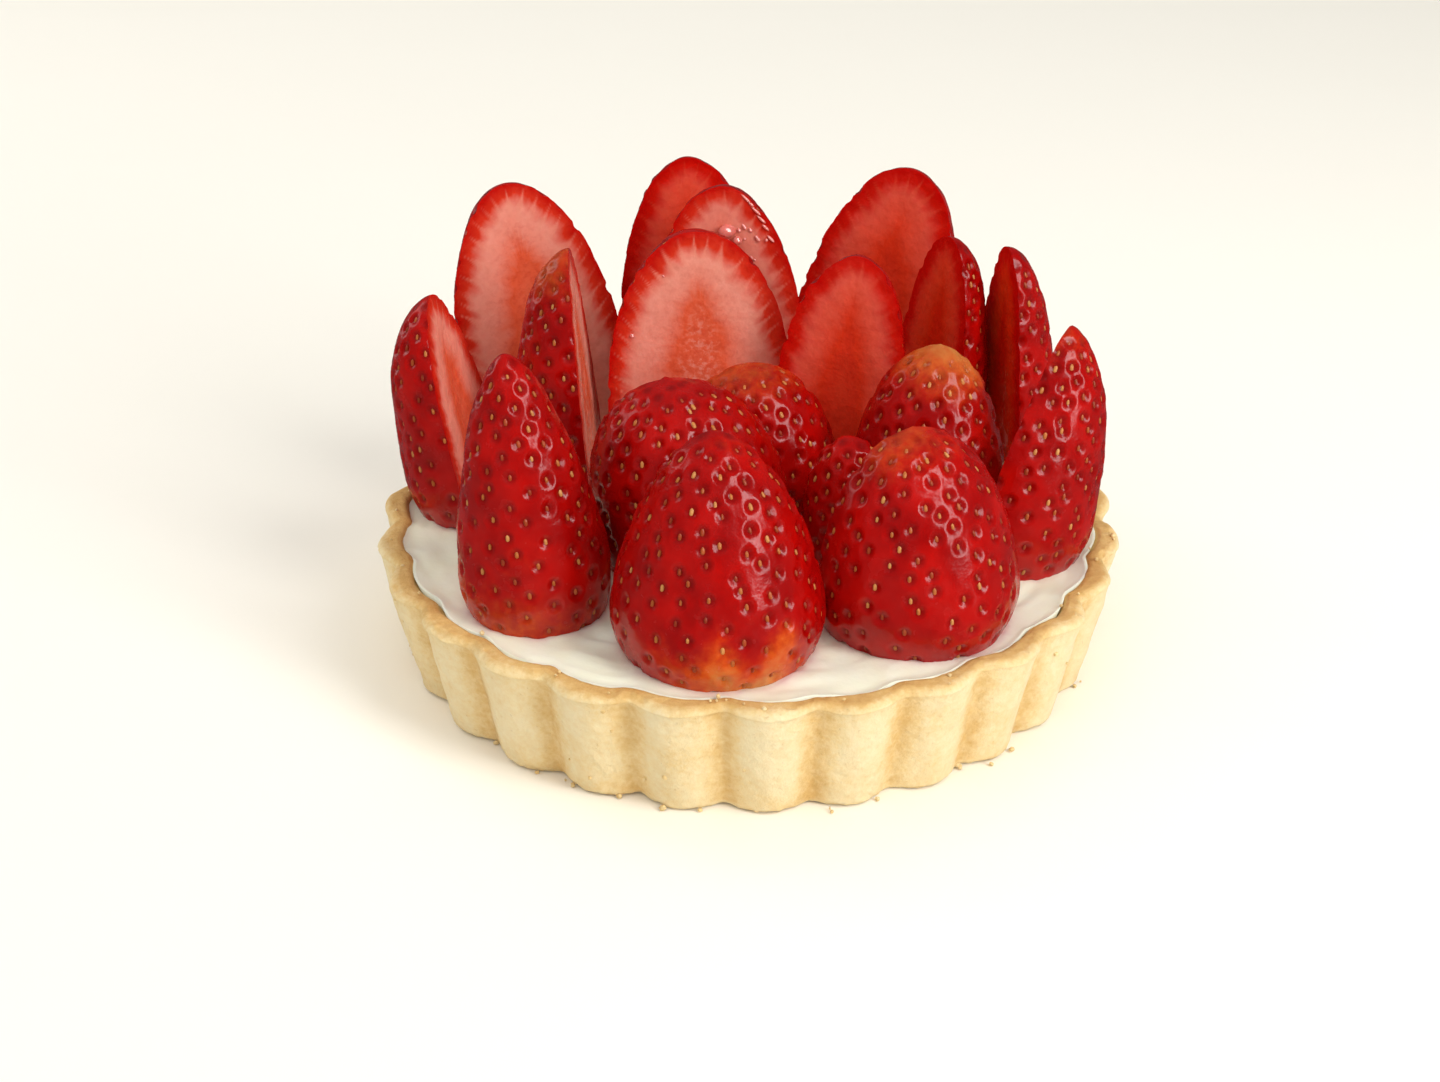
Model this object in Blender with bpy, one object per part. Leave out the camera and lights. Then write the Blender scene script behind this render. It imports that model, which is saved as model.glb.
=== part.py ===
"""Strawberry tart: a fluted shortcrust case filled with cream, with cut strawberries stood in the cream.

Sizes are in millimetres and become metres through MM. The origin is the centre of the case's flat
base, +Z is up, and the front of the tart faces -Y.
"""

from math import acos, cos, pi, radians, sin
from typing import NamedTuple, Optional

import bmesh
import bpy
from mathutils import Vector

MM = 0.001

# Crust: a shallow pressed case with fluted walls
RIM_RADIUS = 60.0
BASE_RADIUS = 56.2
CRUST_HEIGHT = 20.0
FLUTES = 26
FLUTE_DEPTH = 2.3
FLUTE_STEPS = 6
FIRST_LOBE_DEG = 3.7
DRIFT_DEG = 5.5
DRIFT_CENTRE_DEG = 80.0
WALL_THICKNESS = 4.0
INNER_WAVE = 1.2
FLOOR_THICKNESS = 3.5
FLOOR_RADIUS = 51.0
BASE_ROUND = 0.9
RIM_ROUND = 0.8

# Cream: fills the case to just under the rim
CREAM_TOP = 19.0
GAP = 0.3

# Strawberries: how far they are pressed into the cream, and how finely they are faceted
SINK = 2.5
SHOULDER = 0.3
SHOULDER_DRAW = 0.22
RINGS = 9
HALF_STEPS = 10
WHOLE_STEPS = 18


class Berry(NamedTuple):
    """One strawberry, stem end down. Its cut face, if it has one, holds the line from foot to tip."""

    name: str
    foot: tuple  # x, y of the middle of the stem end
    tip: tuple  # x, y, z
    width: float
    fullness: float = 2.5  # higher keeps the sides wide for longer
    point: float = 0.5  # higher makes the tip sharper
    face: Optional[float] = None  # direction that the cut face looks in, in degrees from +X
    cut: float = 0.0  # how far the cut lies from the core, as a share of half the width
    bow: float = 0.0  # sideways bend of the middle


BERRIES = (
    Berry("strawberry_front", (-4.5, -39.2), (-5.2, -37.0, 52.0), 32.8, 1.9, 0.6, face=90),
    Berry("strawberry_front_right", (24.6, -31.6), (23.0, -30.5, 49.5), 32.0, 2.3, 0.55, face=105),
    Berry("strawberry_right", (39.0, -11.2), (48.6, -8.0, 55.5), 26.8, 1.8, 0.55, face=150),
    Berry("strawberry_right_slim", (41.8, 14.8), (41.6, 14.8, 59.4), 20.2, 1.9, 0.5, face=195),
    Berry("strawberry_back_right", (18.2, 35.0), (27.6, 35.0, 65.3), 30.0, 2.8, face=250, cut=-0.15),
    Berry("strawberry_back", (-9.0, 42.0), (-10.0, 42.0, 65.2), 27.0, 2.6, face=275, cut=-0.2),
    Berry("strawberry_back_left", (-32.2, 29.6), (-40.2, 30.0, 64.4), 30.5, 2.6, face=287, cut=-0.25),
    Berry("strawberry_left", (-41.7, 4.6), (-50.0, 4.6, 55.4), 25.6, 2.3, 0.55, face=-8),
    Berry("strawberry_front_left", (-31.5, -28.0), (-35.3, -27.0, 59.2), 24.6, 1.5, 0.62),
    Berry("strawberry_inner_left", (-24.4, 9.0), (-28.3, 9.0, 61.2), 28.0, 1.8, 0.55, face=-0.8),
    Berry("strawberry_middle", (-6.8, 13.4), (-8.3, 13.4, 62.6), 33.8, 2.5, face=270, cut=-0.4),
    Berry("strawberry_middle_back", (-2.0, 25.9), (-4.5, 25.9, 65.8), 29.0, 2.5, face=268, cut=-0.3),
    Berry("strawberry_inner_right", (14.0, 4.3), (17.3, 4.3, 61.8), 24.0, 2.8,
          face=250, cut=-0.3, bow=-1.0),
    Berry("strawberry_inner_back_right", (28.5, 18.0), (32.8, 18.0, 59.9), 21.6, 2.2, face=208),
    Berry("strawberry_inner_front_left", (-7.2, -13.0), (-12.8, -12.0, 48.9), 31.6, 3.4, face=90),
    Berry("strawberry_inner_front", (2.4, 1.0), (-0.4, 1.0, 45.3), 28.0, 3.0, face=90, cut=-0.12),
    Berry("strawberry_inner_small", (17.0, -16.0), (15.0, -16.0, 41.0), 17.5, 2.4, face=80),
    Berry("strawberry_inner_front_right", (27.6, -4.5), (29.4, -5.0, 51.2), 27.0, 2.0, face=80, cut=0.05),
)

CRUST_COLOUR = (0.80, 0.58, 0.29)
CREAM_COLOUR = (0.86, 0.78, 0.64)
BERRY_COLOUR = (0.48, 0.01, 0.005)


def clear_scene():
    for thing in list(bpy.data.objects):
        bpy.data.objects.remove(thing, do_unlink=True)


def make_material(name, colour, roughness):
    material = bpy.data.materials.new(name)
    material.use_nodes = True
    shader = material.node_tree.nodes["Principled BSDF"]
    shader.inputs["Base Color"].default_value = (*colour, 1.0)
    shader.inputs["Roughness"].default_value = roughness
    shader.inputs["Metallic"].default_value = 0.0
    material.diffuse_color = (*colour, 1.0)
    return material


def make_object(name, bm, colour, roughness, sharp_deg):
    """Turns a bmesh in millimetres into an object in metres, with normals out and a smooth finish."""
    bmesh.ops.recalc_face_normals(bm, faces=bm.faces)
    bmesh.ops.scale(bm, vec=(MM, MM, MM), verts=bm.verts)
    mesh = bpy.data.meshes.new(name)
    bm.to_mesh(mesh)
    bm.free()
    thing = bpy.data.objects.new(name, mesh)
    bpy.context.scene.collection.objects.link(thing)
    mesh.materials.append(make_material(name + "_finish", colour, roughness))
    mesh.shade_smooth()
    mesh.set_sharp_from_angle(angle=radians(sharp_deg))
    return thing


def bridge(bm, lower, upper):
    """Faces between two closed rings with as many points each."""
    count = len(lower)
    for i in range(count):
        j = (i + 1) % count
        bm.faces.new((lower[i], lower[j], upper[j], upper[i]))


def fan(bm, ring, pole):
    count = len(ring)
    for i in range(count):
        bm.faces.new((ring[i], ring[(i + 1) % count], pole))


def flute_phase(turn):
    """Phase of the fluting at an angle round the case. The lobes drift a little, as pressed by hand."""
    drift = DRIFT_DEG * ((1 + cos(turn - radians(DRIFT_CENTRE_DEG - 90))) / 2) ** 3
    return FLUTES * (turn + pi / 2 - radians(FIRST_LOBE_DEG - drift))


def lobe(turn):
    """1 on the crown of a lobe and 0 in a valley, with wide crowns and narrow valleys."""
    sharpness = 0.15
    raw = (cos(flute_phase(turn) / 2) ** 2 + sharpness**2) ** 0.5
    return (raw - sharpness) / ((1 + sharpness**2) ** 0.5 - sharpness)


def turns():
    count = FLUTES * FLUTE_STEPS
    return [2 * pi * i / count for i in range(count)]


def outer_radius(turn, z):
    mean = BASE_RADIUS + (RIM_RADIUS - BASE_RADIUS) * z / CRUST_HEIGHT
    return mean - FLUTE_DEPTH * (1 - lobe(turn))


def inner_radius(turn, z):
    """Inside of the wall, which follows the flutes less deeply and leans in towards the floor."""
    rim = RIM_RADIUS - WALL_THICKNESS - INNER_WAVE * (1 - lobe(turn))
    share = (z - FLOOR_THICKNESS) / (CRUST_HEIGHT - FLOOR_THICKNESS)
    return FLOOR_RADIUS + (rim - FLOOR_RADIUS) * share


def ring_at(bm, radius_of, z, inset=0.0):
    found = []
    for turn in turns():
        radius = radius_of(turn, z) - inset
        found.append(bm.verts.new((radius * cos(turn), radius * sin(turn), z)))
    return found


def build_crust():
    """The case as one turned skin: flat base, fluted wall, narrow rim, inner wall and floor."""
    bm = bmesh.new()
    top = CRUST_HEIGHT
    rings = (
        ring_at(bm, outer_radius, 0.0, inset=BASE_ROUND),
        ring_at(bm, outer_radius, BASE_ROUND),
        ring_at(bm, outer_radius, top - RIM_ROUND),
        ring_at(bm, outer_radius, top, inset=RIM_ROUND),
        ring_at(bm, inner_radius, top, inset=-RIM_ROUND),
        ring_at(bm, inner_radius, top - RIM_ROUND),
        ring_at(bm, inner_radius, FLOOR_THICKNESS),
    )
    for lower, upper in zip(rings, rings[1:]):
        bridge(bm, lower, upper)
    fan(bm, rings[0], bm.verts.new((0, 0, 0)))
    fan(bm, rings[-1], bm.verts.new((0, 0, FLOOR_THICKNESS)))
    return make_object("crust", bm, CRUST_COLOUR, 0.75, sharp_deg=50)


def half_width(berry, along):
    """Half width of a berry at a share of its length, from the stem end at 0 to the tip at 1."""
    body = (1 - along**berry.fullness) ** berry.point
    short = max(0.0, 1 - along / SHOULDER)
    return berry.width / 2 * body * (1 - SHOULDER_DRAW * short**2)


def berry_mesh(berry, grow=0.0):
    """A berry as rings round its core. With grow, every side stands out by that much more."""
    foot = Vector((*berry.foot, CREAM_TOP - SINK))
    tip = Vector(berry.tip)
    core = (tip - foot).normalized()
    whole = berry.face is None
    look = Vector((1, 0, 0)) if whole else Vector((cos(radians(berry.face)), sin(radians(berry.face)), 0))
    look = (look - core * look.dot(core)).normalized()
    side = core.cross(look)
    length = (tip - foot).length

    bm = bmesh.new()
    rings = []
    for step in range(RINGS):
        along = sin(pi / 2 * step / RINGS)
        radius = half_width(berry, along) + grow
        offset = 0.0 if whole else berry.cut * berry.width / 2 * (1 - along)
        lift = length * along - grow * (1 - along)
        centre = foot + core * lift + side * berry.bow * sin(pi * along) - look * offset
        if whole:
            angles = [2 * pi * i / WHOLE_STEPS for i in range(WHOLE_STEPS)]
        else:
            edge = acos((offset + grow) / radius)
            angles = [edge + (2 * pi - 2 * edge) * i / HALF_STEPS for i in range(HALF_STEPS + 1)]
        rings.append([bm.verts.new(centre + radius * (look * cos(a) + side * sin(a))) for a in angles])
    pole = bm.verts.new(tip + core * grow + (Vector() if whole else look * grow))

    bm.faces.new(rings[0])
    if whole:
        for lower, upper in zip(rings, rings[1:]):
            bridge(bm, lower, upper)
        fan(bm, rings[-1], pole)
        return bm
    for lower, upper in zip(rings, rings[1:]):
        for i in range(HALF_STEPS):
            bm.faces.new((lower[i], lower[i + 1], upper[i + 1], upper[i]))
    for i in range(HALF_STEPS):
        bm.faces.new((rings[-1][i], rings[-1][i + 1], pole))
    for lower, upper in zip(rings, rings[1:]):
        bm.faces.new((lower[0], upper[0], upper[-1], lower[-1]))
    bm.faces.new((rings[-1][0], pole, rings[-1][-1]))
    return bm


def build_berry(berry):
    return make_object(berry.name, berry_mesh(berry), BERRY_COLOUR, 0.3, sharp_deg=45)


def build_cream():
    """The cream fills the case, with a pocket cut round the foot of every strawberry."""
    bm = bmesh.new()
    floor = FLOOR_THICKNESS + GAP
    low = ring_at(bm, inner_radius, floor, inset=GAP)
    high = ring_at(bm, inner_radius, CREAM_TOP, inset=GAP)
    bridge(bm, low, high)
    bm.faces.new(low)
    bm.faces.new(high)
    cream = make_object("cream", bm, CREAM_COLOUR, 0.45, sharp_deg=50)
    for berry in BERRIES:
        cutter = make_object(berry.name + "_cutter", berry_mesh(berry, grow=GAP), BERRY_COLOUR, 0.3, 45)
        cutter.hide_render = True
        cutter.display_type = "WIRE"
        pocket = cream.modifiers.new(berry.name + "_pocket", "BOOLEAN")
        pocket.operation = "DIFFERENCE"
        pocket.solver = "EXACT"
        pocket.object = cutter
    return cream


def main():
    clear_scene()
    build_crust()
    build_cream()
    for berry in BERRIES:
        build_berry(berry)


main()
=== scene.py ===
"""Looks of the strawberry tart: fine relief, seeds, crumbs, materials, light and camera.

Lengths are in millimetres until mesh_piece turns them into metres. The berries and the case repeat
the driving sizes of the CAD model, so that each fine piece lies where its CAD node does.
"""

from itertools import product
from math import cos, pi, radians, sin
from typing import NamedTuple, Optional

import bmesh
import bpy
import numpy as np
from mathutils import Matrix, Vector


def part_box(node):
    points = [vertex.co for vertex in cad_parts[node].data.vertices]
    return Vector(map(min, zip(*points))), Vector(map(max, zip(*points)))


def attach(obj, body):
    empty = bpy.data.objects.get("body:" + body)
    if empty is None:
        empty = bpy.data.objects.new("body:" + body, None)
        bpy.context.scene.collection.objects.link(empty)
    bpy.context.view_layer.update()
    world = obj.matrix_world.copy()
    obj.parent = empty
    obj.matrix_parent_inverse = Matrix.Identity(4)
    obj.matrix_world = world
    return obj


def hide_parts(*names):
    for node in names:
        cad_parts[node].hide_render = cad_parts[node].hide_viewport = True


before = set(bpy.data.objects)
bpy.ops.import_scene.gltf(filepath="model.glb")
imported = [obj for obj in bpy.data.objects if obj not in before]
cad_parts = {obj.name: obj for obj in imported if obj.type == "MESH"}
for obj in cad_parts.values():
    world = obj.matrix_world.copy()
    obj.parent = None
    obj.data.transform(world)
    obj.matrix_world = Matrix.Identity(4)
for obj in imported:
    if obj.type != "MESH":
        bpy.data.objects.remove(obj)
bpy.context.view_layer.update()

MM = 0.001

# Crust and cream, as in the CAD model
RIM_RADIUS = 60.0
BASE_RADIUS = 56.2
CRUST_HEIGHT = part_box("crust")[1].z / MM
FLUTES = 26
FLUTE_DEPTH = 2.3
FIRST_LOBE_DEG = 3.7
DRIFT_DEG = 5.5
DRIFT_CENTRE_DEG = 80.0
WALL_THICKNESS = 4.0
INNER_WAVE = 1.2
FLOOR_THICKNESS = 3.5
FLOOR_RADIUS = 51.0
CREAM_TOP = 19.0

# Strawberries, as in the CAD model
SINK = 2.5
SHOULDER = 0.3
SHOULDER_DRAW = 0.22


class Berry(NamedTuple):
    """One strawberry, stem end down. Its cut face, if it has one, holds the line from foot to tip."""

    name: str
    foot: tuple  # x, y of the middle of the stem end
    tip: tuple  # x, y, z
    width: float
    fullness: float = 2.5  # higher keeps the sides wide for longer
    point: float = 0.5  # higher makes the tip sharper
    face: Optional[float] = None  # direction that the cut face looks in, in degrees from +X
    cut: float = 0.0  # how far the cut lies from the core, as a share of half the width
    bow: float = 0.0  # sideways bend of the middle
    pale_tip: float = 0.0  # how unripe the tip is, from 0 to 1
    pale_foot: float = 0.0  # how unripe the stem end is
    pale_turn: Optional[float] = None  # direction from which the stem end is palest, in degrees from +X
    pale_flesh: float = 0.6  # how pale the ring of the cut face is


BERRIES = (
    Berry("strawberry_front", (-4.5, -39.2), (-5.2, -37.0, 52.0), 32.8, 1.9, 0.6, face=90,
          pale_tip=0.15, pale_foot=0.95, pale_turn=-35),
    Berry("strawberry_front_right", (24.6, -31.6), (23.0, -30.5, 49.5), 32.0, 2.3, 0.55, face=105,
          pale_tip=0.35),
    Berry("strawberry_right", (39.0, -11.2), (48.6, -8.0, 55.5), 26.8, 1.8, 0.55, face=150,
          pale_tip=0.25, pale_foot=0.2),
    Berry("strawberry_right_slim", (41.8, 14.8), (41.6, 14.8, 59.4), 20.2, 1.9, 0.5, face=195,
          pale_flesh=0.0),
    Berry("strawberry_back_right", (18.2, 35.0), (27.6, 35.0, 65.3), 30.0, 2.8, face=250, cut=-0.15,
          pale_flesh=0.18),
    Berry("strawberry_back", (-9.0, 42.0), (-10.0, 42.0, 65.2), 27.0, 2.6, face=275, cut=-0.2,
          pale_flesh=0.15),
    Berry("strawberry_back_left", (-32.2, 29.6), (-40.2, 30.0, 64.4), 30.5, 2.6, face=287, cut=-0.25,
          pale_flesh=0.9),
    Berry("strawberry_left", (-41.7, 4.6), (-50.0, 4.6, 55.4), 25.6, 2.3, 0.55, face=-8,
          pale_tip=0.2, pale_flesh=0.8),
    Berry("strawberry_front_left", (-31.5, -28.0), (-35.3, -27.0, 59.2), 24.6, 1.5, 0.62,
          pale_foot=0.45),
    Berry("strawberry_inner_left", (-24.4, 9.0), (-28.3, 9.0, 61.2), 28.0, 1.8, 0.55, face=-0.8,
          pale_tip=0.5, pale_flesh=1.0),
    Berry("strawberry_middle", (-6.8, 13.4), (-8.3, 13.4, 62.6), 33.8, 2.5, face=270, cut=-0.4,
          pale_flesh=1.0),
    Berry("strawberry_middle_back", (-2.0, 25.9), (-4.5, 25.9, 65.8), 29.0, 2.5, face=268, cut=-0.3,
          pale_flesh=0.7),
    Berry("strawberry_inner_right", (14.0, 4.3), (17.3, 4.3, 61.8), 24.0, 2.8, face=250, cut=-0.3, bow=-1.0,
          pale_flesh=0.22),
    Berry("strawberry_inner_back_right", (28.5, 18.0), (32.8, 18.0, 59.9), 21.6, 2.2, face=208,
          pale_flesh=0.05),
    Berry("strawberry_inner_front_left", (-7.2, -13.0), (-12.8, -12.0, 48.9), 31.6, 3.4, face=90),
    Berry("strawberry_inner_front", (2.4, 1.0), (-0.4, 1.0, 45.3), 28.0, 3.0, face=90, cut=-0.12,
          pale_tip=0.5),
    Berry("strawberry_inner_small", (17.0, -16.0), (15.0, -16.0, 41.0), 17.5, 2.4, face=80),
    Berry("strawberry_inner_front_right", (27.6, -4.5), (29.4, -5.0, 51.2), 27.0, 2.0, face=80, cut=0.05,
          pale_tip=0.8),
)

# Fineness of the meshes
OUTLINE_STEPS = 400
SKIN_STEP = 0.42
FLESH_STEP = 0.45
CRUST_STEPS = 1040
WALL_ROWS = 46
CREAM_STEPS = 540
CREAM_ROWS = 84
CREAM_EDGE_STEPS = 90

# Crust details
OUTER_ROUND = 1.4
INNER_ROUND = 0.9
WALL_PITS = 700
FOOT_CRUMBS = 34
RIM_CRUMBS = 46
WALL_CRUMBS = 40

# Cut faces
RIB_SPACING = 3.0
FACE_HOLLOW = 0.35

# Seeds
SEED_SPACING = 3.5
TIP_SPACING = 2.4
PIT_RADIUS = 1.3
PIT_DEPTH = 0.48
SEED_SIZE = (0.34, 0.58, 0.25)  # half sizes across, along and out of the skin
SEED_AROUND = 8
SEED_RINGS = (0.30, 0.62, 0.88)  # places of the rings of points along a seed, as shares of half a turn

# Beads of juice: (strawberry, share of its length, share of the half width to the side, radius, stretch)
BEADS = (
    ("strawberry_middle_back", 0.845, 0.10, 1.7, 0.7),
    ("strawberry_middle_back", 0.81, 0.27, 0.9, 0.8),
    ("strawberry_middle", 0.62, -0.80, 0.45, 1.0),
    ("strawberry_middle", 0.84, -0.55, 0.22, 1.0),
    ("strawberry_inner_right", 0.60, 0.78, 0.32, 1.2),
    ("strawberry_back_right", 0.70, 0.84, 0.25, 1.0),
)
SMALL_BEADS = 11
EDGE_BEADS = (0.955, 0.935, 0.91, 0.88, 0.85, 0.81)  # a thin line of juice near the edge of one face
BEAD_FACING = (0.34, -0.80, 0.49)  # the beads lie flattened, facing between the front and the window
BEAD_HEIGHT = 0.42

# Colours that several mixes share or that stand alone, in linear light
DEEP_RED = (0.29, 0.0006, 0.0005)
RIPE_RED = (0.43, 0.0022, 0.001)
# painted shade: the darker red laid into the pits round the seeds
PIT_SHADE_RED = (0.18, 0.0006, 0.0006)
HUSK_TAN = (0.42, 0.155, 0.035)
FLESH_SPECK = (0.50, 0.014, 0.004)
FLESH_PITH = (0.86, 0.40, 0.32)
CRUST_SPECK = (0.42, 0.22, 0.07)
CREAM_SHADE = (0.86, 0.86, 0.65)
CREAM_LIGHT = (0.90, 0.91, 0.74)
CREAM_STAIN = (0.62, 0.30, 0.34)


# ---- Noise ----


def lattice(x, y, z, seed):
    """A repeatable value from 0 to 1 for each point of a grid."""
    mixed = x.astype(np.uint32) * np.uint32(374761393) + y.astype(np.uint32) * np.uint32(668265263)
    mixed += z.astype(np.uint32) * np.uint32(2246822519) + np.uint32((seed * 3266489917) & 0xFFFFFFFF)
    mixed = (mixed ^ (mixed >> np.uint32(13))) * np.uint32(1274126177)
    mixed ^= mixed >> np.uint32(16)
    return (mixed & np.uint32(0xFFFFFF)).astype(float) / 0xFFFFFF


def noise(points, size, seed):
    """Smooth noise from -1 to 1 at points, with lumps about that size across."""
    scaled = np.asarray(points) / size
    cell = np.floor(scaled).astype(np.int64)
    share = scaled - cell
    share = share * share * (3 - 2 * share)
    total = np.zeros(len(scaled))
    for corner in product((0, 1), repeat=3):
        weight = np.ones(len(scaled))
        for axis in range(3):
            weight *= share[:, axis] if corner[axis] else 1 - share[:, axis]
        total += weight * lattice(*(cell[:, axis] + corner[axis] for axis in range(3)), seed)
    return total * 2 - 1


def layered(points, size, seed, layers=3):
    """Noise with finer layers on it, each half the size and half the height of the last."""
    total = np.zeros(len(points))
    for layer in range(layers):
        total += noise(points, size / 2**layer, seed + layer) / 2**layer
    return total


def smooth_step(low, high, values):
    share = np.clip((values - low) / (high - low), 0, 1)
    return share * share * (3 - 2 * share)


# ---- Meshes ----


def mesh_piece(name, points, faces, material, attributes=None, face_materials=None, sharp_deg=None):
    """An object from points in millimetres and faces of three or four corners."""
    mesh = bpy.data.meshes.new(name)
    faces = [np.asarray(group, dtype=np.int32) for group in faces if len(group)]
    corners = np.concatenate([group.ravel() for group in faces])
    sizes = np.concatenate([np.full(len(group), group.shape[1], dtype=np.int32) for group in faces])
    starts = np.concatenate([[0], np.cumsum(sizes)[:-1]]).astype(np.int32)
    mesh.vertices.add(len(points))
    mesh.loops.add(len(corners))
    mesh.polygons.add(len(sizes))
    mesh.vertices.foreach_set("co", (np.asarray(points) * MM).astype(np.float32).ravel())
    mesh.loops.foreach_set("vertex_index", corners)
    mesh.polygons.foreach_set("loop_start", starts)
    mesh.update(calc_edges=True)
    mesh.validate()
    for entry, values in (attributes or {}).items():
        values = np.asarray(values, dtype=np.float32)
        kind = "FLOAT" if values.ndim == 1 else "FLOAT_VECTOR"
        layer = mesh.attributes.new(entry, kind, "POINT")
        layer.data.foreach_set("value" if values.ndim == 1 else "vector", values.ravel())
    for entry in material if isinstance(material, (list, tuple)) else [material]:
        mesh.materials.append(entry)
    if face_materials is not None:
        mesh.polygons.foreach_set("material_index", np.asarray(face_materials, dtype=np.int32))
    mesh.shade_smooth()
    if sharp_deg is not None:
        mesh.set_sharp_from_angle(angle=radians(sharp_deg))
    thing = bpy.data.objects.new(name, mesh)
    bpy.context.scene.collection.objects.link(thing)
    return thing


def grid_faces(rows, columns, closed=True, first=0):
    """Quads between neighbouring rows of a grid of points, counter-clockwise seen from outside."""
    across = columns if closed else columns - 1
    row, column = np.meshgrid(np.arange(rows - 1), np.arange(across), indexing="ij")
    here = first + row * columns + column
    beside = first + row * columns + (column + 1) % columns
    return np.stack([here, beside, beside + columns, here + columns], axis=-1).reshape(-1, 4)


def fan_faces(first, columns, pole, outward):
    """Triangles from a closed row of points to a pole."""
    here = first + np.arange(columns)
    beside = first + (np.arange(columns) + 1) % columns
    pole = np.full(columns, pole)
    order = (here, beside, pole) if outward else (beside, here, pole)
    return np.stack(order, axis=-1)


def finish_piece(thing, slot, *nodes):
    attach(thing, "root")
    if nodes:
        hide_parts(*nodes)


# ---- Materials ----


class Nodes:
    """A material's node tree, with short names for the nodes used here."""

    def __init__(self, name, roughness, subsurface=0.0, radius=(1.0, 0.4, 0.2), coat=0.0, shine=0.5):
        self.material = bpy.data.materials.new(name)
        self.material.use_nodes = True
        self.tree = self.material.node_tree
        self.shader = self.tree.nodes["Principled BSDF"]
        self.set("Roughness", roughness)
        self.set("IOR", 1.45)
        self.set("Specular IOR Level", shine)
        if subsurface:
            self.set("Subsurface Weight", subsurface)
            self.set("Subsurface Scale", 0.002)
            self.set("Subsurface Radius", radius)
        if coat:
            self.set("Coat Weight", coat)
            self.set("Coat Roughness", 0.12)
        self.place = self.tree.nodes.new("ShaderNodeTexCoord").outputs["Object"]

    def set(self, socket, value):
        self.shader.inputs[socket].default_value = value

    def feed(self, socket, source):
        self.tree.links.new(source, self.shader.inputs[socket])

    def attribute(self, name, output="Fac"):
        node = self.tree.nodes.new("ShaderNodeAttribute")
        node.attribute_name = name
        return node.outputs[output]

    def noise(self, size, detail=2.0, roughness=0.5):
        """Noise with lumps about that many millimetres across."""
        node = self.tree.nodes.new("ShaderNodeTexNoise")
        node.inputs["Scale"].default_value = 1 / (size * MM)
        node.inputs["Detail"].default_value = detail
        node.inputs["Roughness"].default_value = roughness
        self.tree.links.new(self.place, node.inputs["Vector"])
        return node.outputs["Fac"]

    def noise_on(self, vector, detail=2.0):
        """Noise on a vector that is already in lumps."""
        node = self.tree.nodes.new("ShaderNodeTexNoise")
        node.inputs["Scale"].default_value = 1.0
        node.inputs["Detail"].default_value = detail
        self.tree.links.new(vector, node.inputs["Vector"])
        return node.outputs["Fac"]

    def stretched(self, vector, scale):
        node = self.tree.nodes.new("ShaderNodeMapping")
        node.inputs["Scale"].default_value = scale
        self.tree.links.new(vector, node.inputs["Vector"])
        return node.outputs["Vector"]

    def ramp(self, source, stops):
        """stops are (place, value or colour), from low to high."""
        node = self.tree.nodes.new("ShaderNodeValToRGB")
        for index, (place, colour) in enumerate(stops):
            if index > 1:
                node.color_ramp.elements.new(place)
            element = node.color_ramp.elements[index]
            element.position = place
            element.color = (colour, colour, colour, 1) if isinstance(colour, float) else (*colour, 1)
        self.tree.links.new(source, node.inputs["Fac"])
        return node.outputs["Color"]

    def math(self, operation, first, second, clamp=False):
        node = self.tree.nodes.new("ShaderNodeMath")
        node.operation = operation
        node.use_clamp = clamp
        for socket, value in zip(node.inputs, (first, second)):
            if isinstance(value, (int, float)):
                socket.default_value = value
            else:
                self.tree.links.new(value, socket)
        return node.outputs["Value"]

    def mix(self, share, first, second, blend="MIX"):
        node = self.tree.nodes.new("ShaderNodeMix")
        node.data_type = "RGBA"
        node.blend_type = blend
        for socket, value in ((node.inputs[0], share), (node.inputs[6], first), (node.inputs[7], second)):
            if isinstance(value, (int, float)):
                socket.default_value = value
            elif isinstance(value, tuple):
                socket.default_value = (*value, 1)
            else:
                self.tree.links.new(value, socket)
        return node.outputs[2]

    def bump(self, height, depth, below=None):
        """Raises the surface by that many millimetres where height is 1."""
        node = self.tree.nodes.new("ShaderNodeBump")
        node.inputs["Strength"].default_value = 1.0
        node.inputs["Distance"].default_value = depth * MM
        self.tree.links.new(height, node.inputs["Height"])
        if below is not None:
            self.tree.links.new(below, node.inputs["Normal"])
        return node.outputs["Normal"]


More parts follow.
